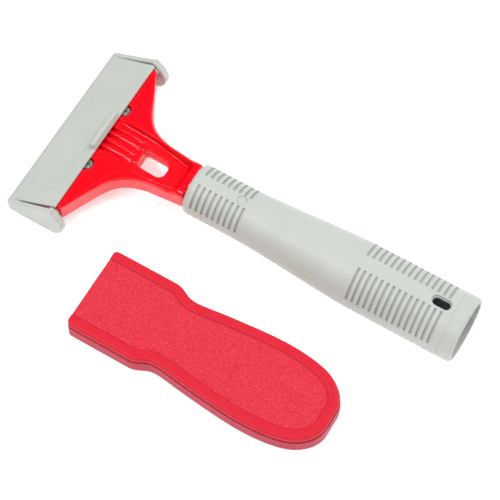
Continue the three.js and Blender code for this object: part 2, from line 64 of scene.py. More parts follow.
# the blade end is tilted: u runs up the slope from the guard's front top edge, w is square to it
TILT = math.pi / 6
SLOPE_X = -85.5
SLOPE_Z = 7.8
HEAD_TOP = -2.2
SEAT = -8.0
GUARD_DEPTH = 34
GUARD_HALF = 54.4
WING_HALF = 48.7
SCREW_U = 33.4
SCREW_Y = 18.6
SCREW_POCKET_R = 3.7
SCREW_POCKET_DEPTH = 3.2
SCREW_HOLE_R = 2.3
CLAMP_STEP = 0.8
CLAMP_PLATE = 1.5
SCREW_TAIL = 3.4
WASHER = 0.6
GAP = 0.3
PIN_X = 29
LOCK_SLOT_X = 146
POCKET_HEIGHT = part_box("pocket_upper_shell")[1].z / MM
POCKET_PARTING = 9.0


# ---- small helpers for outlines
def bezier(a, b, c, d, steps):
    t = np.linspace(0, 1, steps + 1)[:, None]
    points = (1 - t) ** 3 * np.array(a) + 3 * t * (1 - t) ** 2 * np.array(b)
    points = points + 3 * t * t * (1 - t) * np.array(c) + t ** 3 * np.array(d)
    return [tuple(p) for p in points]


def arc(cx, cy, rx, ry, start, end, steps):
    turns = np.radians(np.linspace(start, end, steps + 1))
    return [(cx + rx * math.cos(a), cy + ry * math.sin(a)) for a in turns]


def on_slope(u, w):
    x = SLOPE_X + u * math.cos(TILT) - w * math.sin(TILT)
    return x, SLOPE_Z + u * math.sin(TILT) + w * math.cos(TILT)


def slope_frame(x, z):
    dx, dz = x - SLOPE_X, z - SLOPE_Z
    u = dx * math.cos(TILT) + dz * math.sin(TILT)
    return u, dz * math.cos(TILT) - dx * math.sin(TILT)


def smooth_curve(x, knots, values):
    """A smooth curve through the knots, level beyond the first and the last."""
    knots, values = np.array(knots, float), np.array(values, float)
    slopes = np.gradient(values, knots)
    x = np.clip(x, knots[0], knots[-1])
    i = np.clip(np.searchsorted(knots, x, side="right") - 1, 0, len(knots) - 2)
    span = knots[i + 1] - knots[i]
    t = (x - knots[i]) / span
    rise = values[i + 1] - values[i]
    ends = slopes[i] * span * t * (1 - t) ** 2 - slopes[i + 1] * span * t * t * (1 - t)
    return values[i] + rise * t * t * (3 - 2 * t) + ends


def smooth_step(x, start, end):
    t = np.clip((x - start) / (end - start), 0, 1)
    return t * t * (3 - 2 * t)


# ---- shapes as distance fields in millimetres: below zero is inside
def both(a, b, radius):
    """Inside a and inside b, with the edge where they meet rounded."""
    outer = np.hypot(np.maximum(a + radius, 0), np.maximum(b + radius, 0))
    return np.minimum(np.maximum(a, b), -radius) + outer


def either(a, b, radius):
    return -both(-a, -b, radius)


def without(a, b, radius):
    return both(a, -b, radius)


def between(value, low, high):
    return np.maximum(low - value, value - high)


def box_field(a, b, half_a, half_b, radius):
    return both(np.abs(a) - half_a, np.abs(b) - half_b, radius)


def polygon(px, py, points):
    px, py = np.broadcast_arrays(px, py)
    nearest = np.full(px.shape, 1e9)
    inside = np.zeros(px.shape, bool)
    for (ax, ay), (bx, by) in zip(points, points[1:] + points[:1]):
        ex, ey = bx - ax, by - ay
        wx, wy = px - ax, py - ay
        t = np.clip((wx * ex + wy * ey) / (ex * ex + ey * ey), 0, 1)
        nearest = np.minimum(nearest, (wx - t * ex) ** 2 + (wy - t * ey) ** 2)
        if ay != by:
            inside ^= ((ay > py) != (by > py)) & (wx < ex * wy / ey)
    return np.where(inside, -1, 1) * np.sqrt(nearest)


# ---- a fine quad mesh on the surface of a field
NUDGE = 0.02


def slope_of(field, p):
    x, y, z = p.T
    return np.stack([
        field(x + NUDGE, y, z) - field(x - NUDGE, y, z),
        field(x, y + NUDGE, z) - field(x, y - NUDGE, z),
        field(x, y, z + NUDGE) - field(x, y, z - NUDGE)], axis=1) / (2 * NUDGE)


def onto_surface(field, p, reach):
    value = field(*p.T)
    slope = slope_of(field, p)
    move = value[:, None] * slope / np.maximum((slope ** 2).sum(1), 0.05)[:, None]
    length = np.linalg.norm(move, axis=1, keepdims=True)
    return p - move * np.minimum(1, reach / np.maximum(length, 1e-9))


def surface_nets(field, low, high, step):
    """Points and quads of the surface inside the box from low to high."""
    axes = [np.arange(a, b + step, step) for a, b in zip(low, high)]
    x, y, z = np.ix_(*axes)
    values = np.asarray(field(x, y, z)) + np.zeros((x.size, y.size, z.size))
    inside = values < 0
    cell_count = np.array(values.shape) - 1
    shifts = [(i, j, k) for i in (0, 1) for j in (0, 1) for k in (0, 1)]

    def window(grid, shift):
        return grid[tuple(slice(s, s + n) for s, n in zip(shift, cell_count))]

    filled = sum(window(inside, s).astype(np.int8) for s in shifts)
    mixed = (filled > 0) & (filled < 8)
    cells = np.argwhere(mixed)
    number = np.full(mixed.shape, -1, np.int64)
    number[mixed] = np.arange(len(cells))
    total, crossings = np.zeros((len(cells), 3)), np.zeros(len(cells))
    for a in shifts:
        for axis in range(3):
            if a[axis]:
                continue
            b = tuple(v + (i == axis) for i, v in enumerate(a))
            va, vb = (values[tuple((cells + s).T)] for s in (a, b))
            crossed = (va < 0) != (vb < 0)
            t = va[crossed] / (va[crossed] - vb[crossed])
            total[crossed] += np.array(a) + t[:, None] * (np.array(b) - np.array(a))
            crossings[crossed] += 1
    points = np.array([a[0] for a in axes]) + step * (cells + total / crossings[:, None])
    quads = []
    for axis in range(3):
        u, v = (axis + 1) % 3, (axis + 2) % 3
        here = [slice(None)] * 3
        there = [slice(None)] * 3
        here[axis], there[axis] = slice(0, -1), slice(1, None)
        starts, ends = inside[tuple(here)], inside[tuple(there)]
        edges = np.argwhere(starts != ends)
        ok = (edges[:, u] > 0) & (edges[:, v] > 0)
        ok &= (edges[:, u] < cell_count[u]) & (edges[:, v] < cell_count[v])
        edges = edges[ok]
        ring = []
        for du, dv in ((1, 1), (0, 1), (0, 0), (1, 0)):
            cell = edges.copy()
            cell[:, u] -= du
            cell[:, v] -= dv
            ring.append(number[tuple(cell.T)])
        ring = np.stack(ring, axis=1)
        outward = starts[tuple(edges.T)]
        ring[~outward] = ring[~outward][:, ::-1]
        quads.append(ring)
    return points, np.concatenate(quads)


def relaxed(points, quads):
    """Each point at the middle of its neighbours, so that the quads come out even."""
    total, count = np.zeros_like(points), np.zeros(len(points))
    for i in range(4):
        a, b = quads[:, i], quads[:, (i + 1) % 4]
        for p, q in ((a, b), (b, a)):
            np.add.at(total, p, points[q])
            np.add.at(count, p, 1)
    return total / count[:, None]


def surface(field, low, high, step):
    """The surface as points, quads, normals and how sharply it bends at each point."""
    points, quads = surface_nets(field, low, high, step)
    points = onto_surface(field, points, step / 2)
    for _ in range(2):
        points = 0.5 * points + 0.5 * relaxed(points, quads)
        points = onto_surface(field, points, step / 2)
    points = onto_surface(field, points, step / 4)
    normals = slope_of(field, points)
    normals /= np.maximum(np.linalg.norm(normals, axis=1, keepdims=True), 1e-9)
    reach = 0.35
    bend = sum(field(*(points + reach * side * np.eye(3)[axis]).T)
               for axis in range(3) for side in (-1, 1))
    bend = (bend - 6 * field(*points.T)) / reach
    return points, quads, normals, bend


# ---- Blender objects
def place_piece(obj, body, nodes):
    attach(obj, body)
    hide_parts(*nodes)
    return obj


def mesh_object(name, points, faces, origin, material):
    mesh = bpy.data.meshes.new(name)
    faces = faces.tolist() if isinstance(faces, np.ndarray) else faces
    mesh.from_pydata((np.asarray(points) * MM + np.array(origin)).tolist(), [], faces)
    mesh.shade_smooth()
    mesh.materials.append(material)
    obj = bpy.data.objects.new(name, mesh)
    bpy.context.scene.collection.objects.link(obj)
    return obj


def store(mesh, name, values):
    attribute = mesh.attributes.new(name, "FLOAT", "POINT")
    attribute.data.foreach_set("value", np.asarray(values, np.float32))


def moulded(name, field, low, high, step, origin, material, extra=None, shade=0.4):
    points, quads, normals, bend = surface(field, low, high, step)
    obj = mesh_object(name, points, quads, origin, material)
    obj.data.normals_split_custom_set_from_vertices(normals.tolist())
    store(obj.data, "edge", np.clip(bend, 0, 1))
    # painted shade: "hollow" darkens the colour where the surface bends inwards, in creases and recesses, by
    # the given shade
    store(obj.data, "hollow", shade * np.clip(-bend, 0, 1))
    if extra:
        store(obj.data, extra[0], extra[1](*points.T))
    return obj


def bevelled(name, node, material, width, segments=2):
    """The node's own solid as a new piece, with its edges broken."""
    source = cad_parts[node].data
    build = bmesh.new()
    build.from_mesh(source)
    bmesh.ops.remove_doubles(build, verts=build.verts, dist=2e-6)
    bmesh.ops.dissolve_limit(build, angle_limit=math.radians(2), verts=build.verts, edges=build.edges)
    sharp = [e for e in build.edges if len(e.link_faces) == 2 and e.calc_face_angle() > math.radians(25)]
    bmesh.ops.bevel(build, geom=sharp, offset=width * MM, offset_type="OFFSET", segments=segments,
                    profile=0.5, affect="EDGES", clamp_overlap=True)
    mesh = bpy.data.meshes.new(name)
    build.to_mesh(mesh)
    build.free()
    mesh.shade_smooth()
    mesh.set_sharp_from_angle(angle=math.radians(40))
    mesh.materials.clear()
    mesh.materials.append(material)
    obj = bpy.data.objects.new(name, mesh)
    bpy.context.scene.collection.objects.link(obj)
    return obj


# ---- materials
def node_material(name):
    material = bpy.data.materials.new(name)
    material.use_nodes = True
    nodes, links = material.node_tree.nodes, material.node_tree.links
    return material, nodes, links, nodes["Principled BSDF"]


def noise(nodes, links, coordinate, scale, detail=2.0, roughness=0.5):
    texture = nodes.new("ShaderNodeTexNoise")
    texture.inputs["Scale"].default_value = scale
    texture.inputs["Detail"].default_value = detail
    texture.inputs["Roughness"].default_value = roughness
    links.new(coordinate.outputs["Object"], texture.inputs["Vector"])
    return texture.outputs["Fac"]


def remap(nodes, links, value, low, high, to_low, to_high):
    node = nodes.new("ShaderNodeMapRange")
    for socket, number in zip(("From Min", "From Max", "To Min", "To Max"), (low, high, to_low, to_high)):
        node.inputs[socket].default_value = number
    links.new(value, node.inputs["Value"])
    return node.outputs["Result"]


def blended(nodes, links, factor, first, second):
    node = nodes.new("ShaderNodeMix")
    node.data_type = "RGBA"
    links.new(factor, node.inputs["Factor"])
    for socket, value in (("A", first), ("B", second)):
        target = next(s for s in node.inputs if s.name == socket and s.type == "RGBA")
        if isinstance(value, tuple):
            target.default_value = (*value, 1)
        else:
            links.new(value, target)
    return next(s for s in node.outputs if s.type == "RGBA")


def attribute(nodes, name):
    node = nodes.new("ShaderNodeAttribute")
    node.attribute_name = name
    return node.outputs["Fac"]


def maths(nodes, links, operation, first, second):
    node = nodes.new("ShaderNodeMath")
    node.operation = operation
    for socket, value in zip(node.inputs, (first, second)):
        if isinstance(value, (int, float)):
            socket.default_value = value
        else:
            links.new(value, socket)
    return node.outputs[0]


def bump(nodes, links, height, distance, strength=1.0, before=None):
    node = nodes.new("ShaderNodeBump")
    node.inputs["Distance"].default_value = distance
    if isinstance(strength, float):
        node.inputs["Strength"].default_value = strength
    else:
        links.new(strength, node.inputs["Strength"])
    links.new(height, node.inputs["Height"])
    if before:
        links.new(before, node.inputs["Normal"])
    return node.outputs["Normal"]


def plastic(name, colour, worn, shaded, deep, roughness, grain_size, grain_depth, gloss=0.5, painted_glint_colour=None):
    """Moulded plastic: uneven colour, fine grain, paler worn edges, and shade painted into the hollows.
    With a painted glint colour, the grain and the glints painted on it are only where the piece's own
    "grain" value says."""
    material, nodes, links, shader = node_material(name)
    coordinate = nodes.new("ShaderNodeTexCoord")
    cloud = noise(nodes, links, coordinate, 55, 3.0)
    uneven = remap(nodes, links, cloud, 0.35, 0.65, 0, 0.35)
    base = blended(nodes, links, uneven, colour, shaded)
    scuffs = noise(nodes, links, coordinate, 420, 4.0, 0.65)
    scuffed = remap(nodes, links, scuffs, 0.42, 0.62, 0.15, 1)
    wear = maths(nodes, links, "MULTIPLY", attribute(nodes, "edge"), scuffed)
    base = blended(nodes, links, maths(nodes, links, "MULTIPLY", wear, 0.45), base, worn)
    # painted shade: the "hollow" value darkens creases, recesses and the bore's inside towards the deep
    # colour
    base = blended(nodes, links, attribute(nodes, "hollow"), base, deep)
    patchy = noise(nodes, links, coordinate, 130, 3.0)
    rough = remap(nodes, links, patchy, 0.3, 0.7, roughness * 0.88, roughness * 1.12)
    rough = maths(nodes, links, "ADD", rough, maths(nodes, links, "MULTIPLY", wear, 0.08))
    grain = noise(nodes, links, coordinate, 1 / (grain_size * MM), 2.0, 0.55)
    strength = 1.0
    # painted glints: lighter speckles on the grain stand in for the glints of the textured surface
    if painted_glint_colour:
        strength = attribute(nodes, "grain")
        rough = maths(nodes, links, "ADD", rough, maths(nodes, links, "MULTIPLY", strength, 0.22))
        painted_glints = remap(nodes, links, grain, 0.44, 0.68, 0, 0.8)
        base = blended(nodes, links, maths(nodes, links, "MULTIPLY", painted_glints, strength), base, painted_glint_colour)
    links.new(base, shader.inputs["Base Color"])
    links.new(rough, shader.inputs["Roughness"])
    swell = noise(nodes, links, coordinate, 90, 1.0)
    normal = bump(nodes, links, swell, 0.00008, 0.25)
    links.new(bump(nodes, links, grain, grain_depth * MM, strength, normal), shader.inputs["Normal"])
    shader.inputs["IOR"].default_value = 1.5
    shader.inputs["Specular IOR Level"].default_value = gloss
    return material


def metal(name, colour, dark, roughness, brush_scale, brush_stretch, metallic=1.0):
    """Rolled or plated steel: brushed along one direction, with stains and small scratches."""
    material, nodes, links, shader = node_material(name)
    coordinate = nodes.new("ShaderNodeTexCoord")
    stretch = nodes.new("ShaderNodeMapping")
    stretch.inputs["Scale"].default_value = brush_stretch
    links.new(coordinate.outputs["Object"], stretch.inputs["Vector"])
    brush = nodes.new("ShaderNodeTexNoise")
    brush.inputs["Scale"].default_value = brush_scale
    brush.inputs["Detail"].default_value = 3.0
    links.new(stretch.outputs["Vector"], brush.inputs["Vector"])
    stain = remap(nodes, links, noise(nodes, links, coordinate, 140, 4.0, 0.6), 0.35, 0.7, 0, 0.7)
    links.new(blended(nodes, links, stain, colour, dark), shader.inputs["Base Color"])
    rough = remap(nodes, links, brush.outputs["Fac"], 0.3, 0.7, roughness * 0.75, roughness * 1.3)
    links.new(rough, shader.inputs["Roughness"])
    links.new(bump(nodes, links, brush.outputs["Fac"], 0.000006), shader.inputs["Normal"])
    shader.inputs["Metallic"].default_value = metallic
    return material


GREY = plastic("grey_moulded", (0.478, 0.50, 0.462), (0.57, 0.59, 0.56), (0.43, 0.455, 0.42),
               (0.13, 0.135, 0.13), 0.48, 0.35, 0.012, 0.42)
RED = plastic("red_gloss", (0.86, 0.003, 0.012), (0.92, 0.03, 0.05), (0.78, 0.002, 0.008),
              (0.55, 0.001, 0.004), 0.13, 0.6, 0.0012, 0.42)
SATIN = plastic("red_satin", (0.59, 0.010, 0.026), (0.70, 0.04, 0.07), (0.58, 0.008, 0.020),
                (0.30, 0.001, 0.005), 0.32, 0.34, 0.05, 0.14, (0.68, 0.10, 0.14))
# painted shade: the lower shell gets a darker, bluer copy of the satin red, as its faces are all sides
# shaded from the overhead light
SATIN_SHADED_SIDE = plastic("red_satin_shaded_side", (0.47, 0.030, 0.062), (0.60, 0.06, 0.10), (0.42, 0.024, 0.050),
                     (0.22, 0.003, 0.008), 0.42, 0.5, 0.05, 0.15, (0.60, 0.07, 0.11))
CHARCOAL = plastic("dark_moulded", (0.09, 0.095, 0.10), (0.17, 0.17, 0.17), (0.06, 0.062, 0.065),
                   (0.04, 0.041, 0.043), 0.5, 0.3, 0.012, 0.45)
BLADE = metal("ground_steel", (0.72, 0.74, 0.76), (0.52, 0.54, 0.56), 0.3, 260, (1, 18, 18), 0.6)
ZINC = metal("zinc_plate", (0.50, 0.49, 0.47), (0.30, 0.28, 0.25), 0.34, 700, (1, 1, 1), 0.6)


# ---- the head
def head_half_outline():
    """Half widths: the wing, its swept back edge and the neck."""
    corner = bezier((-56, WING_HALF), (-54.4, WING_HALF), (-53.4, 48.4), (-52.8, 47), 5)
    neck = bezier((-41.6, 26), (-36.6, 16.4), (-30, 14.6), (-22, 12.9), 10)
    return [(-90, -60), (-90, WING_HALF), *corner, *neck, (-0.3, 10.8), (-0.3, -60)]


def head_profile():
    top = bezier(on_slope(31, HEAD_TOP), on_slope(35, HEAD_TOP), (-45, 26.2), (-37, 26.2), 8)
    return [on_slope(6, SEAT), on_slope(27, SEAT), (-56, 9.4), (-44, 12.4), (-0.3, 12.4),
            (-0.3, 26.2), *reversed(top), on_slope(10, HEAD_TOP), on_slope(6, -6.4)]


HEAD_OUTLINE = head_half_outline()
HEAD_PROFILE = head_profile()
RECESS_PLAN = [(-95, -60), (-53.6, -60), (-53.6, 11.6), (-46.6, 11.6), (-46.6, 25.6), (-54.6, 42),
               (-57, 44), (-57, 60), (-95, 60)]
RECESS_SIDE = [on_slope(-5, SEAT), on_slope(23.6, SEAT), on_slope(23.6, SEAT - CLAMP_STEP),
               on_slope(60, SEAT - CLAMP_STEP), on_slope(60, -60), on_slope(-5, -60)]


def channel_floor(x):
    return smooth_curve(x, [-66, -56, -45, -33, -20, -8], [16, 21.6, 22, 21.6, 19.3, 18])


def channel_field(x, side, z):
    half = smooth_curve(x, [-66, -47, -30, -18, -7], [13.4, 12.2, 11.5, 10.4, 9.0])
    end = -8.6 + (z - 18) * 0.45
    return both(both(side - half, x - end, 1.8), channel_floor(x) - z, 1.5)


def finger_field(x, side, z):
    """Four grooves, deep at the guard's edge and fading out towards the window."""
    depth = smooth_curve(x, [-66, -57, -50, -43, -36, -33], [4, 2.8, 1.9, 1.1, 0.3, 0])
    offset = np.minimum(np.abs(side - 2.15), np.abs(side - 6.45))
    trough = np.exp(-(offset / 1.02) ** 4)
    return (channel_floor(x) - depth * trough) - z, offset - 1.6


def window_field(x, side):
    half = 5.6 + (x + 33) * -0.03
    return both(both(-33.2 - x, side - half, 2.0), x + 17.9, 3.8)


def head_field(x, y, z):
    side = np.abs(y)
    u, w = slope_frame(x, z)
    plan = polygon(x, side, HEAD_OUTLINE)
    profile = polygon(x, z, HEAD_PROFILE)
    upper_edge = smooth_step(z, 15, 18.5) * smooth_step(x, -62, -56)
    flank = smooth_step(x, -48, -36) * (1 - 0.7 * smooth_step(x, -9, -3))
    softness = 0.9 + upper_edge * (1.1 + 3.0 * flank)
    body = both(plan, profile, softness)
    recess = np.maximum(polygon(x, side, RECESS_PLAN), polygon(x, z, RECESS_SIDE))
    body = without(body, recess, 0.4)
    body = without(body, channel_field(x, side, z), 0.55)
    groove_depth, groove_side = finger_field(x, side, z)
    groove = np.maximum(np.maximum(groove_depth, groove_side), x + 33)
    body = without(body, groove, 0.3)
    inner_step = 0.3 * smooth_step(-z, -17.2, -16.9)
    body = without(body, window_field(x, side) + inner_step, 1.0)
    ring = np.hypot(u - SCREW_U, side - SCREW_Y)
    body = without(body, np.maximum(ring - SCREW_POCKET_R, HEAD_TOP - SCREW_POCKET_DEPTH - w), 0.35)
    body = without(body, np.maximum(ring - SCREW_HOLE_R, w), 0.2)
    radius = np.hypot(y, z - AXIS_Z)
    tang = both(radius - 11, between(x, -2, 46), 1.2)
    body = either(body, tang, 0.4)
    pin_hole = np.maximum(np.hypot(x - PIN_X, y) - 2.8, AXIS_Z + 7.9 - z)
    return without(body, pin_hole, 0.3)


# ---- the blade guard
def arm_profile():
    knob = arc(-60.2, 12.2, 10.7, 12.2, 58, -90, 22)
    return [(SLOPE_X + 1.2, 0), (SLOPE_X, 1.4), on_slope(0, 0), on_slope(GUARD_DEPTH, 0), *knob]


ARM_PROFILE = arm_profile()
NOSE_PROFILE = [(SLOPE_X + 1.2, 0), on_slope(8, -13.6), on_slope(8, -9.6), on_slope(2.2, -9.6),
                on_slope(2.2, -0.8), on_slope(0, 0), (SLOPE_X, 1.4)]
PLATE_CORNER = bezier((0, GUARD_HALF - 2.6), (0, GUARD_HALF - 1.2), (0.8, GUARD_HALF - 0.4),
                      (2.2, GUARD_HALF - 0.4), 5)
PLATE_PLAN = [(0, -60), *PLATE_CORNER, (7, GUARD_HALF - 0.4), (7, 50.9), (GUARD_DEPTH, 49.6),
              (GUARD_DEPTH, -60)]
KNOB_STEP_X = -57.6
ARM_INSET = 0.22
PANEL_RISE = 0.16
TAB_U = 32.9
TAB_Y = 1.4
TAB_TOP = 3.1


def guard_field(x, y, z):
    side = np.abs(y)
    u, w = slope_frame(x, z)
    raised = PANEL_RISE * smooth_step(-box_field(u - 17.5, y, 10, 39, 3), -0.25, 0.25)
    plate = both(polygon(u, side, PLATE_PLAN), between(w, -1.8, raised - PANEL_RISE), 0.5)
    nose = both(polygon(x, z, NOSE_PROFILE), side - (GUARD_HALF - 1), 0.7)
    arm_side = polygon(x, z, ARM_PROFILE)
    knob_part = smooth_step(x, KNOB_STEP_X - 0.2, KNOB_STEP_X + 0.2)
    step_in = ARM_INSET * (1 - knob_part)
    outer_face = GUARD_HALF - step_in
    inner_face = GUARD_HALF - 3.2 - 0.9 * knob_part
    arm_softness = 0.9 + 1.0 * (1 - smooth_step(u, 1, 4))
    arm = both(arm_side + step_in, between(side, inner_face, outer_face), arm_softness)
    tab = both(box_field(u - TAB_U, y - TAB_Y, 1.7, 11.5, 0.9), w - TAB_TOP, 0.8)
    tab = np.maximum(tab, -1 - w)
    pad = both(box_field(u - 29, w + 5.4, 4, 2, 1.2), between(side, WING_HALF + 0.3, GUARD_HALF - 1), 0.3)
    whole = either(either(plate, nose, 0.4), arm, 0.5)
    whole = either(either(whole, tab, 0.5), pad, 0.3)
    dimple = np.hypot((u - 5.6) * 0.55, side - 50.9) - 0.75
    return without(whole, both(dimple, -0.5 - w, 0.2), 0.25)


# ---- the pocket scraper: s runs back from its wide end, t is across it
POCKET_LENGTH = (pocket_high.x - pocket_low.x) / MM
POCKET_HALF = 25.2
UPPER_INSET = 0.9
RIM = 6.6
RIM_SLOPE = 1.0
PANEL_DEPTH = 0.9
SHELL_WALL = 3
FRONT_WALL = 1.8
ROOF = 2.6
MOUTH_HALF = 21.2
MOUTH_LOW = 5.6
MOUTH_HIGH = 9.8
BOSS_PLACES = (88, 126)
BOSS_R = 3.6
SLIDER_S = 45


def pocket_half_outline():
    w = POCKET_HALF
    end = POCKET_LENGTH
    waist = bezier((37.5, w), (43.5, w), (45.5, w - 4.1), (51.5, w - 4.1), 10)
    palm = bezier((51.5, w - 4.1), (57, w - 4.1), (62, w - 2.9), (72, w - 1.9), 8)
    palm += bezier((72, w - 1.9), (86, w - 0.5), (96, w + 0.5), (106, w + 0.4), 9)[1:]
    palm += bezier((106, w + 0.4), (116, w + 0.3), (126, w - 1.2), (131.5, w - 3.6), 9)[1:]
    corner = bezier((131.5, w - 3.6), (137.5, w - 6.2), (end - 0.8, w * 0.54), (end, w * 0.25), 14)
    return [(-12, -60), (-12, w), *waist, *palm[1:], *corner[1:], (end, -60)]


POCKET_OUTLINE = pocket_half_outline()


def pocket_plan(s, side):
    return polygon(s, side, POCKET_OUTLINE)


def mouth_field(s, t, z):
    return np.maximum(np.maximum(np.abs(t) - MOUTH_HALF, between(z, MOUTH_LOW, MOUTH_HIGH)), s - 3)


def bosses(s, t, radius):
    first, second = (np.hypot(s - place, t) for place in BOSS_PLACES)
    return np.minimum(first, second) - radius


def upper_shell_field(s, t, z):
    plan = pocket_plan(s, np.abs(t))
    outline = both(plan + UPPER_INSET, -s, 3)
    softness = 0.5 + 1.6 * smooth_step(s, 0.2, 2.6)
    low = POCKET_PARTING + 0.15
    shell = both(outline, z - POCKET_HEIGHT, softness)
    shell = both(shell, low - z, 0.15)
    sunk = PANEL_DEPTH * np.clip((-plan - RIM) / RIM_SLOPE + 0.5, 0, 1)
    shell = without(shell, POCKET_HEIGHT - sunk - z, 0.2)
    hollow = np.maximum(np.maximum(plan + SHELL_WALL, FRONT_WALL - s), z - (POCKET_HEIGHT - ROOF))
    shell = without(shell, hollow, 0.3)
    boss = np.maximum(bosses(s, t, BOSS_R), between(z, low, POCKET_HEIGHT - 1.3))
    shell = either(shell, boss, 0.3)
    shell = without(shell, np.maximum(bosses(s, t, 1.3), z - 11.1), 0.15)
    rebate = np.maximum(-(outline + 0.8), z - (low + 0.5))
    shell = without(shell, rebate, 0.15)
    return without(shell, mouth_field(s, t, z), 0.3)


def lower_shell_field(s, t, z):
    plan = pocket_plan(s, np.abs(t))
    lean = 0.35 * smooth_step(z, 1, POCKET_PARTING)
    outline = both(plan + lean, -s, 3)
    high = POCKET_PARTING - 0.15
    shell = both(outline, -z, 0.9)
    shell = both(shell, z - high, 0.25)
    hollow = np.maximum(np.maximum(plan + SHELL_WALL, FRONT_WALL - s), SHELL_WALL - z)
    shell = without(shell, hollow, 0.3)
    boss = np.maximum(bosses(s, t, BOSS_R), between(z, 1, high))
    shell = either(shell, boss, 0.3)
    shell = without(shell, bosses(s, t, 1.8), 0.15)
    shell = without(shell, np.maximum(bosses(s, t, 3), z - 2.2), 0.25)
    along = np.abs(s - SLIDER_S)
    well = np.hypot(np.maximum(along - 11, 0), t) - 7
    shell = without(shell, np.maximum(well, z - 1.6), 0.4)
    slot = np.hypot(np.maximum(along - 9, 0), t) - 2.5
    shell = without(shell, slot, 0.3)
    return without(shell, mouth_field(s, t, z), 0.3)


def upper_grain(s, t, z):
    """Full grain, with its painted glints, on the sunken panel, less on the rim's top, none on the side."""
    plan = pocket_plan(s, np.abs(t))
    top = smooth_step(z, POCKET_HEIGHT - 2.4, POCKET_HEIGHT - 1.0)
    return top * (0.3 + 0.7 * smooth_step(-plan, RIM, RIM + 0.7))


# ---- the handle
GROOVE_PITCH = 3.38
GROOVE_DEPTH = 1.0
GROOVE_ROWS = (45, 135, 225, 315)
GROOVE_SPAN = 63
FRONT_GROOVES = [5.3 + i * GROOVE_PITCH for i in range(9)]
REAR_GROOVES = [101 + i * GROOVE_PITCH for i in range(15)]
GROOVE_EDGE = [(-0.82, 0), (-0.70, 0.05), (-0.62, 0.24), (-0.54, 0.92), (-0.44, 1), (0, 1),
               (0.44, 1), (0.54, 0.92), (0.62, 0.24), (0.70, 0.05), (0.82, 0)]
ROW_EDGE = [(1.0, 0), (0.5, 0.05), (0.2, 0.24), (-0.2, 0.92), (-0.7, 1)]


def handle_radius(x):
    """Two cylinders and a cone between them, with the corners eased."""
    ease = 5
    a, b = FRONT_GRIP_END, REAR_GRIP_START
    ramp = (np.hypot(x - a, ease) - np.hypot(x - b, ease) + (b - a)) / (2 * (b - a))
    return FRONT_R + (REAR_R - FRONT_R) * np.clip(ramp, 0, 1)


def handle_stations():
    """(x, radius, groove depth share) along the outside, from the front to the rear rim."""
    shoulder = 3.2
    rows = []
    for i in range(9):
        a = i / 8 * math.pi / 2
        rows.append((shoulder - shoulder * math.cos(a), FRONT_R - 2 + 2 * math.sin(a), 0))
    rows.append((4.0, FRONT_R, 0))
    for band in (FRONT_GROOVES, REAR_GROOVES):
        for middle in band:
            rows += [(middle + dx, None, share) for dx, share in GROOVE_EDGE]
    rows += [(x, None, 0) for x in np.linspace(34, 98.5, 34)]
    ring_line = 153.9
    rows += [(x, None, 0) for x in (150.6, 152.2, ring_line - 0.3, ring_line - 0.16)]
    rows += [(ring_line, REAR_R - 0.16, 0), (ring_line + 0.16, None, 0), (ring_line + 0.3, None, 0)]
    rows += [(x, None, 0) for x in (155.6, 157.6, 159.4)]
    rim = 1.7
    for i in range(8):
        a = i / 7 * math.pi / 2
        rows.append((HANDLE_LENGTH - rim + rim * math.sin(a), REAR_R - rim + rim * math.cos(a), 0))
    rows = [(x, handle_radius(x) if r is None else r, share) for x, r, share in rows]
    return sorted(rows, key=lambda row: row[0])


def handle_bore():
    """The inside, from the mouth to the front."""
    lip = 0.6
    rows = []
    for i in range(5):
        a = i / 4 * math.pi / 2
        rows.append((HANDLE_LENGTH - lip + lip * math.cos(a), SOCKET_MOUTH_R + lip - lip * math.sin(a)))
    rows += [(x, SOCKET_MOUTH_R) for x in np.linspace(160, 150, 6)]
    rows += [(x, SOCKET_MOUTH_R + (TANG_BORE_R - SOCKET_MOUTH_R) * (150 - x) / 88)
             for x in np.linspace(146, 62, 18)]
    rows += [(x, TANG_BORE_R) for x in np.linspace(58, 0.6, 12)]
    rows += [(0.25, TANG_BORE_R + 0.15), (0, TANG_BORE_R + 0.5)]
    return [(x, r, 0) for x, r in rows]


def handle_turns():
    """(angle from the top, groove depth share) round the handle."""
    turns = {}
    for middle in GROOVE_ROWS:
        for offset, share in ROW_EDGE:
            turns[middle - GROOVE_SPAN / 2 - offset] = share
            turns[middle + GROOVE_SPAN / 2 + offset] = share
        for inside in np.linspace(-GROOVE_SPAN / 2 + 3.5, GROOVE_SPAN / 2 - 3.5, 14):
            turns[middle + inside] = 1
    for middle in (0, 90, 180, 270):
        for plain in np.linspace(-10, 10, 6):
            turns[(middle + plain) % 360] = 0
    return sorted(turns.items())


def ringed(rows, turns, axis_z):
    """Points and quads of a closed loop of rings round a line along x."""
    angle = np.radians([a for a, _ in turns])
    share = np.array([s for _, s in turns])
    points = []
    for x, radius, groove in rows:
        r = radius - GROOVE_DEPTH * groove * share
        points.append(np.stack([np.full(len(angle), x), r * np.sin(angle), axis_z + r * np.cos(angle)], 1))
    m, n = len(rows), len(turns)
    i, j = np.meshgrid(np.arange(m), np.arange(n), indexing="ij")
    a, b = i * n + j, i * n + (j + 1) % n
    c, d = (i + 1) % m * n + (j + 1) % n, (i + 1) % m * n + j
    return np.concatenate(points), np.stack([a, b, c, d], -1).reshape(-1, 4)


def cutter(points, low, high):
    """An upright prism, used to cut a hole and then removed."""
    n = len(points)
    base = [(x, y, low) for x, y in points] + [(x, y, high) for x, y in points]
    faces = [[i, (i + 1) % n, n + (i + 1) % n, n + i] for i in range(n)]
    obj = bpy.data.objects.new("cutter", bpy.data.meshes.new("cutter"))
    obj.data.from_pydata([tuple(Vector(p) * MM + SCRAPER_ORIGIN) for p in base], [],
                         [*faces, list(range(n))[::-1], list(range(n, 2 * n))])
    bpy.context.scene.collection.objects.link(obj)
    return obj


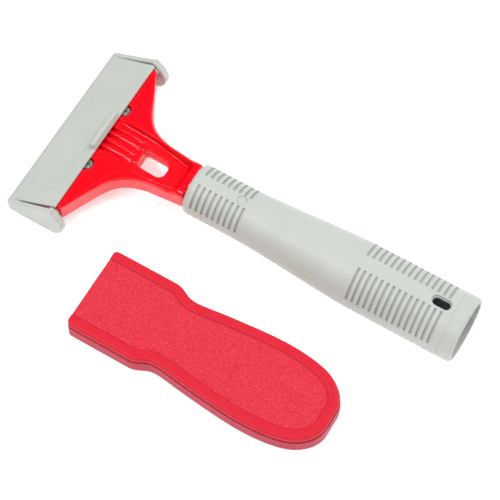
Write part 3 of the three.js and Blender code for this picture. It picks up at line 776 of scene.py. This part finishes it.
def cut_holes(obj, tools):
    for tool in tools:
        step = obj.modifiers.new("hole", "BOOLEAN")
        step.operation = "DIFFERENCE"
        step.solver = "EXACT"
        step.object = tool
    evaluated = obj.evaluated_get(bpy.context.evaluated_depsgraph_get())
    mesh = bpy.data.meshes.new_from_object(evaluated)
    obj.modifiers.clear()
    obj.data = mesh
    for tool in tools:
        bpy.data.objects.remove(tool)


def obround(x, length, width):
    reach = (length - width) / 2
    end = arc(x + reach, 0, width / 2, width / 2, -90, 90, 12)
    return end + arc(x - reach, 0, width / 2, width / 2, 90, 270, 12)


def make_handle():
    outside, bore = handle_stations(), handle_bore()
    rows = outside + bore
    turns = handle_turns()
    points, faces = ringed(rows, turns, AXIS_Z)
    obj = mesh_object("handle_grip_moulding", points, faces, SCRAPER_ORIGIN, GREY)
    # painted shade: the groove floors are darkened a little, and the bore darkens towards its deep end,
    # through "hollow"
    inside = np.array([0.0] * len(outside) + [smooth_step(-x, -154, -148) for x, _, _ in bore])
    groove_shade = np.outer([share for _, _, share in rows], [share for _, share in turns])
    store(obj.data, "hollow", np.maximum(0.28 * groove_shade ** 2, inside[:, None]).ravel())
    tools = [cutter(obround(LOCK_SLOT_X, 11.2, 6.0), AXIS_Z + REAR_R - 1.5, AXIS_Z + REAR_R + 3),
             cutter(obround(LOCK_SLOT_X, 10.0, 4.8), AXIS_Z + 10, AXIS_Z + REAR_R),
             cutter(arc(PIN_X, 0, 2.62, 2.62, 0, 352.5, 47), AXIS_Z + 5, AXIS_Z + FRONT_R + 3)]
    cut_holes(obj, tools)
    obj.data.set_sharp_from_angle(angle=math.radians(38))
    return place_piece(obj, "scraper", ["handle_grip"])


def make_pin():
    """The pin's top follows the handle's curve."""
    radii = [(0.9, 0), (1.7, 0), (2.25, 0), (2.4, 0.02), (2.47, 0.07), (2.5, 0.16)]
    sides = 48
    angle = np.linspace(0, 2 * math.pi, sides, endpoint=False)
    rings = []
    for r, drop in radii:
        y = r * np.sin(angle)
        top = AXIS_Z + np.sqrt((FRONT_R - 0.06) ** 2 - y ** 2) - drop
        rings.append(np.stack([PIN_X + r * np.cos(angle), y, top], 1))
    for low, r in ((AXIS_Z + 8.8, 2.5), (AXIS_Z + 8.3, 2.35), (AXIS_Z + 8.2, 2.1)):
        rings.append(np.stack([PIN_X + r * np.cos(angle), r * np.sin(angle), np.full(sides, low)], 1))
    points = np.concatenate([*rings, [[PIN_X, 0, AXIS_Z + FRONT_R - 0.06], [PIN_X, 0, AXIS_Z + 8.2]]])
    faces = []
    for i in range(len(rings) - 1):
        for j in range(sides):
            k = (j + 1) % sides
            faces.append([i * sides + j, (i + 1) * sides + j, (i + 1) * sides + k, i * sides + k])
    top, bottom, last = len(points) - 2, len(points) - 1, (len(rings) - 1) * sides
    for j in range(sides):
        k = (j + 1) % sides
        faces.append([top, j, k])
        faces.append([bottom, last + k, last + j])
    obj = mesh_object("tang_lock_pin_moulding", points, faces, SCRAPER_ORIGIN, GREY)
    obj.data.set_sharp_from_angle(angle=math.radians(60))
    return place_piece(obj, "scraper", ["tang_lock_pin"])


# ---- the clamp screws: a domed head with a cross recess
def screw_field(side):
    def field(x, y, z):
        u, w = slope_frame(x, z)
        a, b = u - SCREW_U, y - side * SCREW_Y
        ring = np.hypot(a, b)
        top = HEAD_TOP - 0.1
        low = HEAD_TOP - SCREW_POCKET_DEPTH + GAP + WASHER + GAP
        head = both(ring - 2.8, w - top + 0.05 * ring ** 2, 0.35)
        head = both(head, low - w, 0.15)
        shank_end = SEAT - CLAMP_STEP - GAP - CLAMP_PLATE - SCREW_TAIL
        shank = both(ring - 2, between(w, shank_end, low + 0.3), 0.3)
        deep = (top - w) * 0.32
        cross = np.minimum(box_field(a, b, 1.8 - deep, 0.42, 0.2), box_field(a, b, 0.42, 1.8 - deep, 0.2))
        return without(np.minimum(head, shank), np.maximum(cross, top - 1.5 - w), 0.15)
    return field


def make_screws():
    for label, side in (("near", -1), ("far", 1)):
        x, z = on_slope(SCREW_U, -9)
        low, high = (x - 8, side * SCREW_Y - 4, z - 8), (x + 8, side * SCREW_Y + 4, z + 9)
        obj = moulded(f"clamp_screw_{label}_turned", screw_field(side), low, high, 0.2, SCRAPER_ORIGIN, ZINC)
        place_piece(obj, "scraper", [f"clamp_screw_{label}"])


# ---- every piece
def make_mouldings():
    head = moulded("scraper_head_moulding", head_field, (-80, -49.5, 2), (47, 49.5, 31), 0.45,
                   SCRAPER_ORIGIN, RED)
    place_piece(head, "scraper", ["scraper_head"])
    guard = moulded("blade_guard_moulding", guard_field, (-86.5, -55.2, -0.7), (-48.6, 55.2, 30), 0.45,
                    SCRAPER_ORIGIN, GREY)
    place_piece(guard, "guard", ["blade_guard"])
    half = POCKET_HALF + 1.2
    upper = moulded("pocket_upper_shell_moulding", upper_shell_field, (-0.8, -half, 8.4),
                    (POCKET_LENGTH + 0.8, half, POCKET_HEIGHT + 0.6), 0.5, POCKET_ORIGIN, SATIN,
                    ("grain", upper_grain), 0.7)
    place_piece(upper, "pocket_scraper", ["pocket_upper_shell"])
    lower = moulded("pocket_lower_shell_moulding", lower_shell_field, (-0.8, -half, -0.6),
                    (POCKET_LENGTH + 0.8, half, 9.5), 0.5, POCKET_ORIGIN, SATIN_SHADED_SIDE,
                    ("grain", lambda s, t, z: 0.5 * smooth_step(-z, -1.0, -0.2)))
    place_piece(lower, "pocket_scraper", ["pocket_lower_shell"])


SMALL_PIECES = [
    ("scraper_blade", "scraper", "blade_steel", BLADE, 0.03),
    ("blade_clamp_plate", "scraper", "zinc_steel", ZINC, 0.25),
    ("clamp_washer_near", "scraper", "zinc_steel", ZINC, 0.12),
    ("clamp_washer_far", "scraper", "zinc_steel", ZINC, 0.12),
    ("clamp_nut_near", "scraper", "zinc_steel", ZINC, 0.3),
    ("clamp_nut_far", "scraper", "zinc_steel", ZINC, 0.3),
    ("pocket_blade_carrier", "razor_carrier", "dark_plastic", CHARCOAL, 0.25),
    ("pocket_razor_blade", "razor_carrier", "blade_steel", BLADE, 0.02),
    ("pocket_razor_spine", "razor_carrier", "zinc_steel", ZINC, 0.15),
    ("pocket_thumb_slider", "razor_carrier", "dark_plastic", CHARCOAL, 0.18),
    ("pocket_detent_spring", "razor_carrier", "blade_steel", BLADE, 0.06),
    ("pocket_shell_screw_front", "pocket_scraper", "zinc_steel", ZINC, 0.18),
    ("pocket_shell_screw_rear", "pocket_scraper", "zinc_steel", ZINC, 0.18),
]


def make_small_pieces():
    for node, body, slot, material, width in SMALL_PIECES:
        piece = bevelled(f"{node}_finished", node, material, width)
        place_piece(piece, body, [node])


# ---- floor, light and camera
def make_floor():
    mesh = bpy.data.meshes.new("floor")
    reach = 4
    mesh.from_pydata([(-reach, -reach, 0), (reach, -reach, 0), (reach, reach, 0), (-reach, reach, 0)],
                     [], [(0, 1, 2, 3)])
    material, nodes, links, shader = node_material("pale_floor")
    shader.inputs["Base Color"].default_value = (0.93, 0.93, 0.93, 1)
    shader.inputs["Roughness"].default_value = 0.9
    shader.inputs["Specular IOR Level"].default_value = 0.1
    shader.inputs["Emission Color"].default_value = (1, 1, 1, 1)
    shader.inputs["Emission Strength"].default_value = 0.4
    mesh.materials.append(material)
    floor = bpy.data.objects.new("floor", mesh)
    floor.location.z = -0.0001
    bpy.context.scene.collection.objects.link(floor)


def soft_box(name, position, target, size, power, shine=True):
    light = bpy.data.lights.new(name, "AREA")
    light.shape = "RECTANGLE"
    light.size, light.size_y = size
    light.energy = power
    obj = bpy.data.objects.new(name, light)
    obj.location = position
    obj.rotation_euler = (Vector(target) - Vector(position)).to_track_quat("-Z", "Y").to_euler()
    obj.visible_glossy = shine
    bpy.context.scene.collection.objects.link(obj)


def make_lights():
    world = bpy.data.worlds.new("studio")
    world.use_nodes = True
    background = world.node_tree.nodes["Background"]
    background.inputs["Color"].default_value = (0.98, 0.99, 1.0, 1)
    background.inputs["Strength"].default_value = 0.53
    world.cycles_visibility.glossy = False
    bpy.context.scene.world = world
    soft_box("overhead", (0.25, 0.4, 1.4), (0, 0, 0), (1.0, 0.8), 12, False)
    soft_box("near_strip", (-0.35, -0.6, 1.1), (0, 0, 0), (0.5, 0.1), 6.6)
    soft_box("far_strip", (0.55, 0.75, 0.9), (0, 0, 0), (0.6, 0.12), 2.4)


def make_camera():
    azimuth, elevation = math.radians(30.575), math.radians(64.766)
    distance = 1.0
    target = SCRAPER_ORIGIN + Vector((39.22, -9.24, 0)) * MM
    back = Vector((math.sin(azimuth) * math.cos(elevation), -math.cos(azimuth) * math.cos(elevation),
                   math.sin(elevation)))
    camera = bpy.data.cameras.new("camera")
    camera.sensor_width = 36
    camera.lens = 135.432
    obj = bpy.data.objects.new("camera", camera)
    obj.location = target + distance * back
    obj.rotation_euler = (-back).to_track_quat("-Z", "Y").to_euler()
    bpy.context.scene.collection.objects.link(obj)
    bpy.context.scene.camera = obj


make_camera()
make_lights()
make_floor()
make_mouldings()
make_handle()
make_pin()
make_screws()
make_small_pieces()
bpy.context.scene.view_settings.view_transform = "Standard"
bpy.context.scene.view_settings.look = "None"

bpy.context.view_layer.update()
